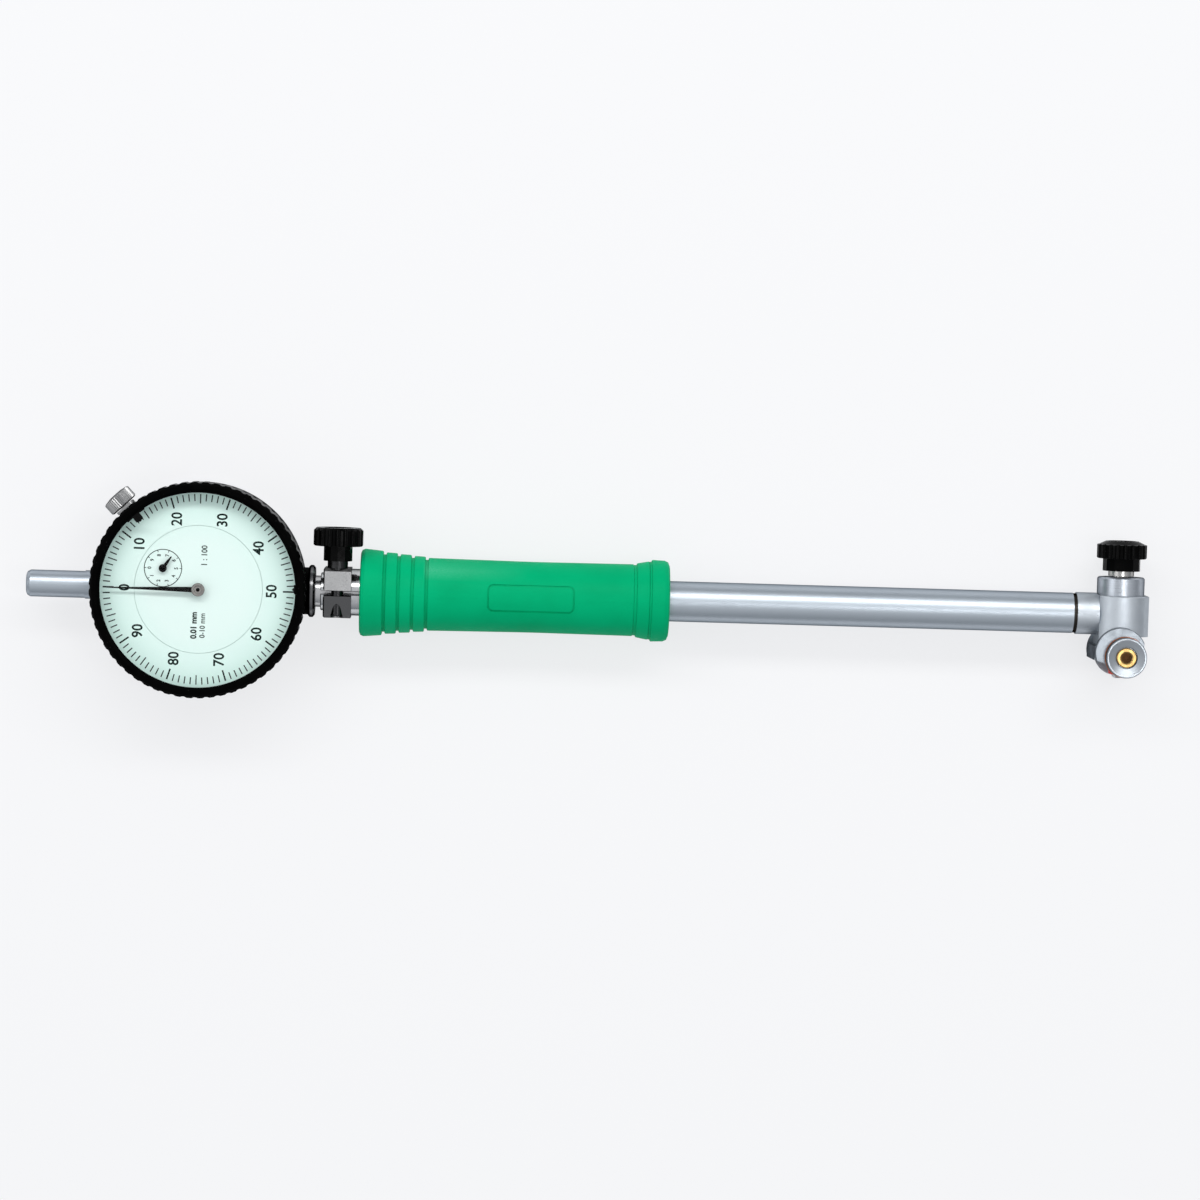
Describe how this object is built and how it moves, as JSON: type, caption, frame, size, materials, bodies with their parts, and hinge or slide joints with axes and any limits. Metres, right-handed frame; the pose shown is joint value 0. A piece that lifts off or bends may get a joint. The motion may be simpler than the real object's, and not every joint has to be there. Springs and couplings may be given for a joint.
{
  "type": "dial bore gauge",
  "caption": "Dial bore gauge: dial indicator clamped to a gripped tube whose head has a sprung contact between two guide rollers and a fluted lock knob.",
  "frame": {"origin": "centre of the flat back of the dial case, on which the gauge lies with its dial facing up", "axes": "+X runs along the tube from the dial to the measuring head, +Z is the dial's outward normal, +Y points away from the contact and rollers"},
  "size_m": [0.2881, 0.055, 0.0246],
  "materials": {
    "case_black": "satin black paint",
    "cover_steel": "turned",
    "screw_steel": "turned",
    "bezel_black": "gloss black",
    "knurled_steel": "knurled, satin",
    "clip_steel": "satin",
    "crystal": "clear",
    "inner_dial": "matt pale mint",
    "scale_ring": "matt pale mint, printed scale",
    "pointer_black": "matt black",
    "hub_steel": "turned",
    "marker_black": "matt",
    "movement_brass": "machined",
    "inner_steel": "ground",
    "spring_wire": "drawn wire",
    "cap_steel": "satin",
    "stem_steel": "ground, dark flange",
    "clamp_metal": "machined",
    "polished_steel": "polished",
    "grip_green": "satin, faint moulded grain",
    "tube_steel": "satin chrome",
    "joint_bronze": "dark bronze",
    "body_steel": "bead blasted, satin",
    "head_steel": "turned",
    "knob_black": "semi-matt, moulded flutes",
    "stud_steel": "turned",
    "contact_steel": "polished",
    "ring_red": "gloss red",
    "bridge_steel": "machined",
    "roller_metal": "turned",
    "roller_brass": "turned",
    "washer_bronze": "bronze"
  },
  "bodies": {
    "indicator": {"case": "case_black", "back_cover": "cover_steel", "back_cover_screws": "screw_steel", "stem": "stem_steel", "dust_cap": "cap_steel", "lower_plate": "movement_brass", "plate_screws": "screw_steel", "plate_pillars": "movement_brass", "upper_plate": "movement_brass", "hairspring": "spring_wire", "inner_dial": "inner_dial", "bezel_clip": "clip_steel"},
    "pointer": {"centre_pinion": "inner_steel", "main_pointer": "pointer_black", "pointer_hub": "hub_steel"},
    "counter": {"take_up_wheel": "movement_brass", "counter_pointer": "pointer_black"},
    "main_train": {"rack_pinion": "inner_steel", "main_wheel": "movement_brass"},
    "spindle": {"spindle": "inner_steel", "rack": "inner_steel", "spindle_tip": "inner_steel"},
    "bezel": {"bezel": "bezel_black", "scale_ring": "scale_ring", "retaining_ring": "case_black", "crystal": "crystal"},
    "limit_marker_1": {"limit_marker_1": "marker_black"},
    "limit_marker_2": {"limit_marker_2": "marker_black"},
    "bezel_clamp": {"bezel_clamp_screw": "knurled_steel"},
    "handle": {"handle_tube": "polished_steel", "clamp_block": "clamp_metal", "grip": "grip_green", "measuring_tube": "tube_steel", "joint_ring": "joint_bronze", "rod_guide_1": "movement_brass", "rod_guide_2": "movement_brass", "rod_spring": "spring_wire", "head_body": "body_steel", "anvil_socket": "head_steel", "crank_pin": "inner_steel", "bridge_springs": "spring_wire"},
    "clamp_knob": {"clamp_screw": "stud_steel", "clamp_knob": "knob_black"},
    "lock_knob": {"lock_stud": "stud_steel", "lock_knob": "knob_black"},
    "push_rod": {"push_rod": "inner_steel", "rod_collar": "inner_steel"},
    "bell_crank": {"bell_crank": "inner_steel"},
    "contact": {"contact_plunger": "contact_steel", "contact_ring": "ring_red", "contact_tip": "contact_steel"},
    "guide_bridge": {"guide_bridge": "bridge_steel", "roller_washer_front": "washer_bronze", "roller_washer_rear": "washer_bronze", "roller_screw_front": "roller_brass", "roller_screw_rear": "roller_brass"},
    "roller_front": {"roller_front": "roller_metal"},
    "roller_rear": {"roller_rear": "roller_metal"}
  },
  "joints": [
    {"name": "pointer_turn", "type": "hinge", "parent": "indicator", "child": "pointer", "pos_m": [0, 0, 0.021], "axis": [0, 0, -1], "range_deg": [0, 500.5]},
    {"name": "main_train_turn", "type": "hinge", "parent": "indicator", "child": "main_train", "pos_m": [-0.00889, -0.00555, 0.015], "axis": [0, 0, 1], "range_deg": [0, 50.06]},
    {"name": "counter_turn", "type": "hinge", "parent": "indicator", "child": "counter", "pos_m": [-0.0091, 0.00519, 0.0158], "axis": [0, 0, 1], "range_deg": [0, 50.06], "deforming": ["hairspring"]},
    {"name": "spindle_slide", "type": "slide", "parent": "indicator", "child": "spindle", "axis": [-1, 0, 0], "range_m": [0, 0.0014]},
    {"name": "bezel_turn", "type": "hinge", "parent": "indicator", "child": "bezel", "pos_m": [0, 0, 0.02], "axis": [0, 0, 1], "continuous": true},
    {"name": "marker_1_turn", "type": "hinge", "parent": "bezel", "child": "limit_marker_1", "pos_m": [0, 0, 0.0236], "axis": [0, 0, 1], "range_deg": [-50, 50]},
    {"name": "marker_2_turn", "type": "hinge", "parent": "bezel", "child": "limit_marker_2", "pos_m": [0, 0, 0.0236], "axis": [0, 0, 1], "range_deg": [-50, 50]},
    {"name": "bezel_clamp_turn", "type": "hinge", "parent": "indicator", "child": "bezel_clamp", "pos_m": [-0.02084, 0.02158, 0.0108], "axis": [-0.6947, 0.7193, 0], "range_deg": [0, 180]},
    {"name": "indicator_swivel", "type": "hinge", "parent": "indicator", "child": "handle", "pos_m": [0.035, 0, 0.0115], "axis": [1, 0, 0], "continuous": true},
    {"name": "clamp_knob_turn", "type": "hinge", "parent": "handle", "child": "clamp_knob", "pos_m": [0.03525, 0.009, 0.0181], "axis": [0, 1, 0], "range_deg": [0, 180]},
    {"name": "lock_knob_turn", "type": "hinge", "parent": "handle", "child": "lock_knob", "pos_m": [0.2368, 0.012, 0.0115], "axis": [0, 1, 0], "range_deg": [0, 180]},
    {"name": "rod_slide", "type": "slide", "parent": "handle", "child": "push_rod", "axis": [-1, 0, 0], "range_m": [0, 0.00139], "stiffness_N_per_m": 800, "springref_m": -0.0015, "deforming": ["rod_spring"]},
    {"name": "crank_turn", "type": "hinge", "parent": "handle", "child": "bell_crank", "pos_m": [0.2328, -0.004, 0.0115], "axis": [0, 0, 1], "range_deg": [0, 19.92]},
    {"name": "contact_slide", "type": "slide", "parent": "handle", "child": "contact", "axis": [0, 1, 0], "range_m": [0, 0.0014]},
    {"name": "bridge_slide", "type": "slide", "parent": "handle", "child": "guide_bridge", "axis": [0, 1, 0], "range_m": [0, 0.002], "stiffness_N_per_m": 500, "springref_m": -0.002, "deforming": ["bridge_springs"]},
    {"name": "roller_front_turn", "type": "hinge", "parent": "guide_bridge", "child": "roller_front", "pos_m": [0.2374, -0.0106, 0.0218], "axis": [0, 0, 1], "continuous": true},
    {"name": "roller_rear_turn", "type": "hinge", "parent": "guide_bridge", "child": "roller_rear", "pos_m": [0.2374, -0.0106, 0.0012], "axis": [0, 0, 1], "continuous": true}
  ],
  "couplings": [
    {"joint": "counter_turn", "follows": "rod_slide", "rad_per_m": 628.32},
    {"joint": "main_train_turn", "follows": "rod_slide", "rad_per_m": 628.32},
    {"joint": "spindle_slide", "follows": "rod_slide", "ratio": 1},
    {"joint": "pointer_turn", "follows": "rod_slide", "rad_per_m": 6283.2},
    {"joint": "crank_turn", "follows": "rod_slide", "rad_per_m": 250},
    {"joint": "contact_slide", "follows": "rod_slide", "ratio": 1}
  ]
}
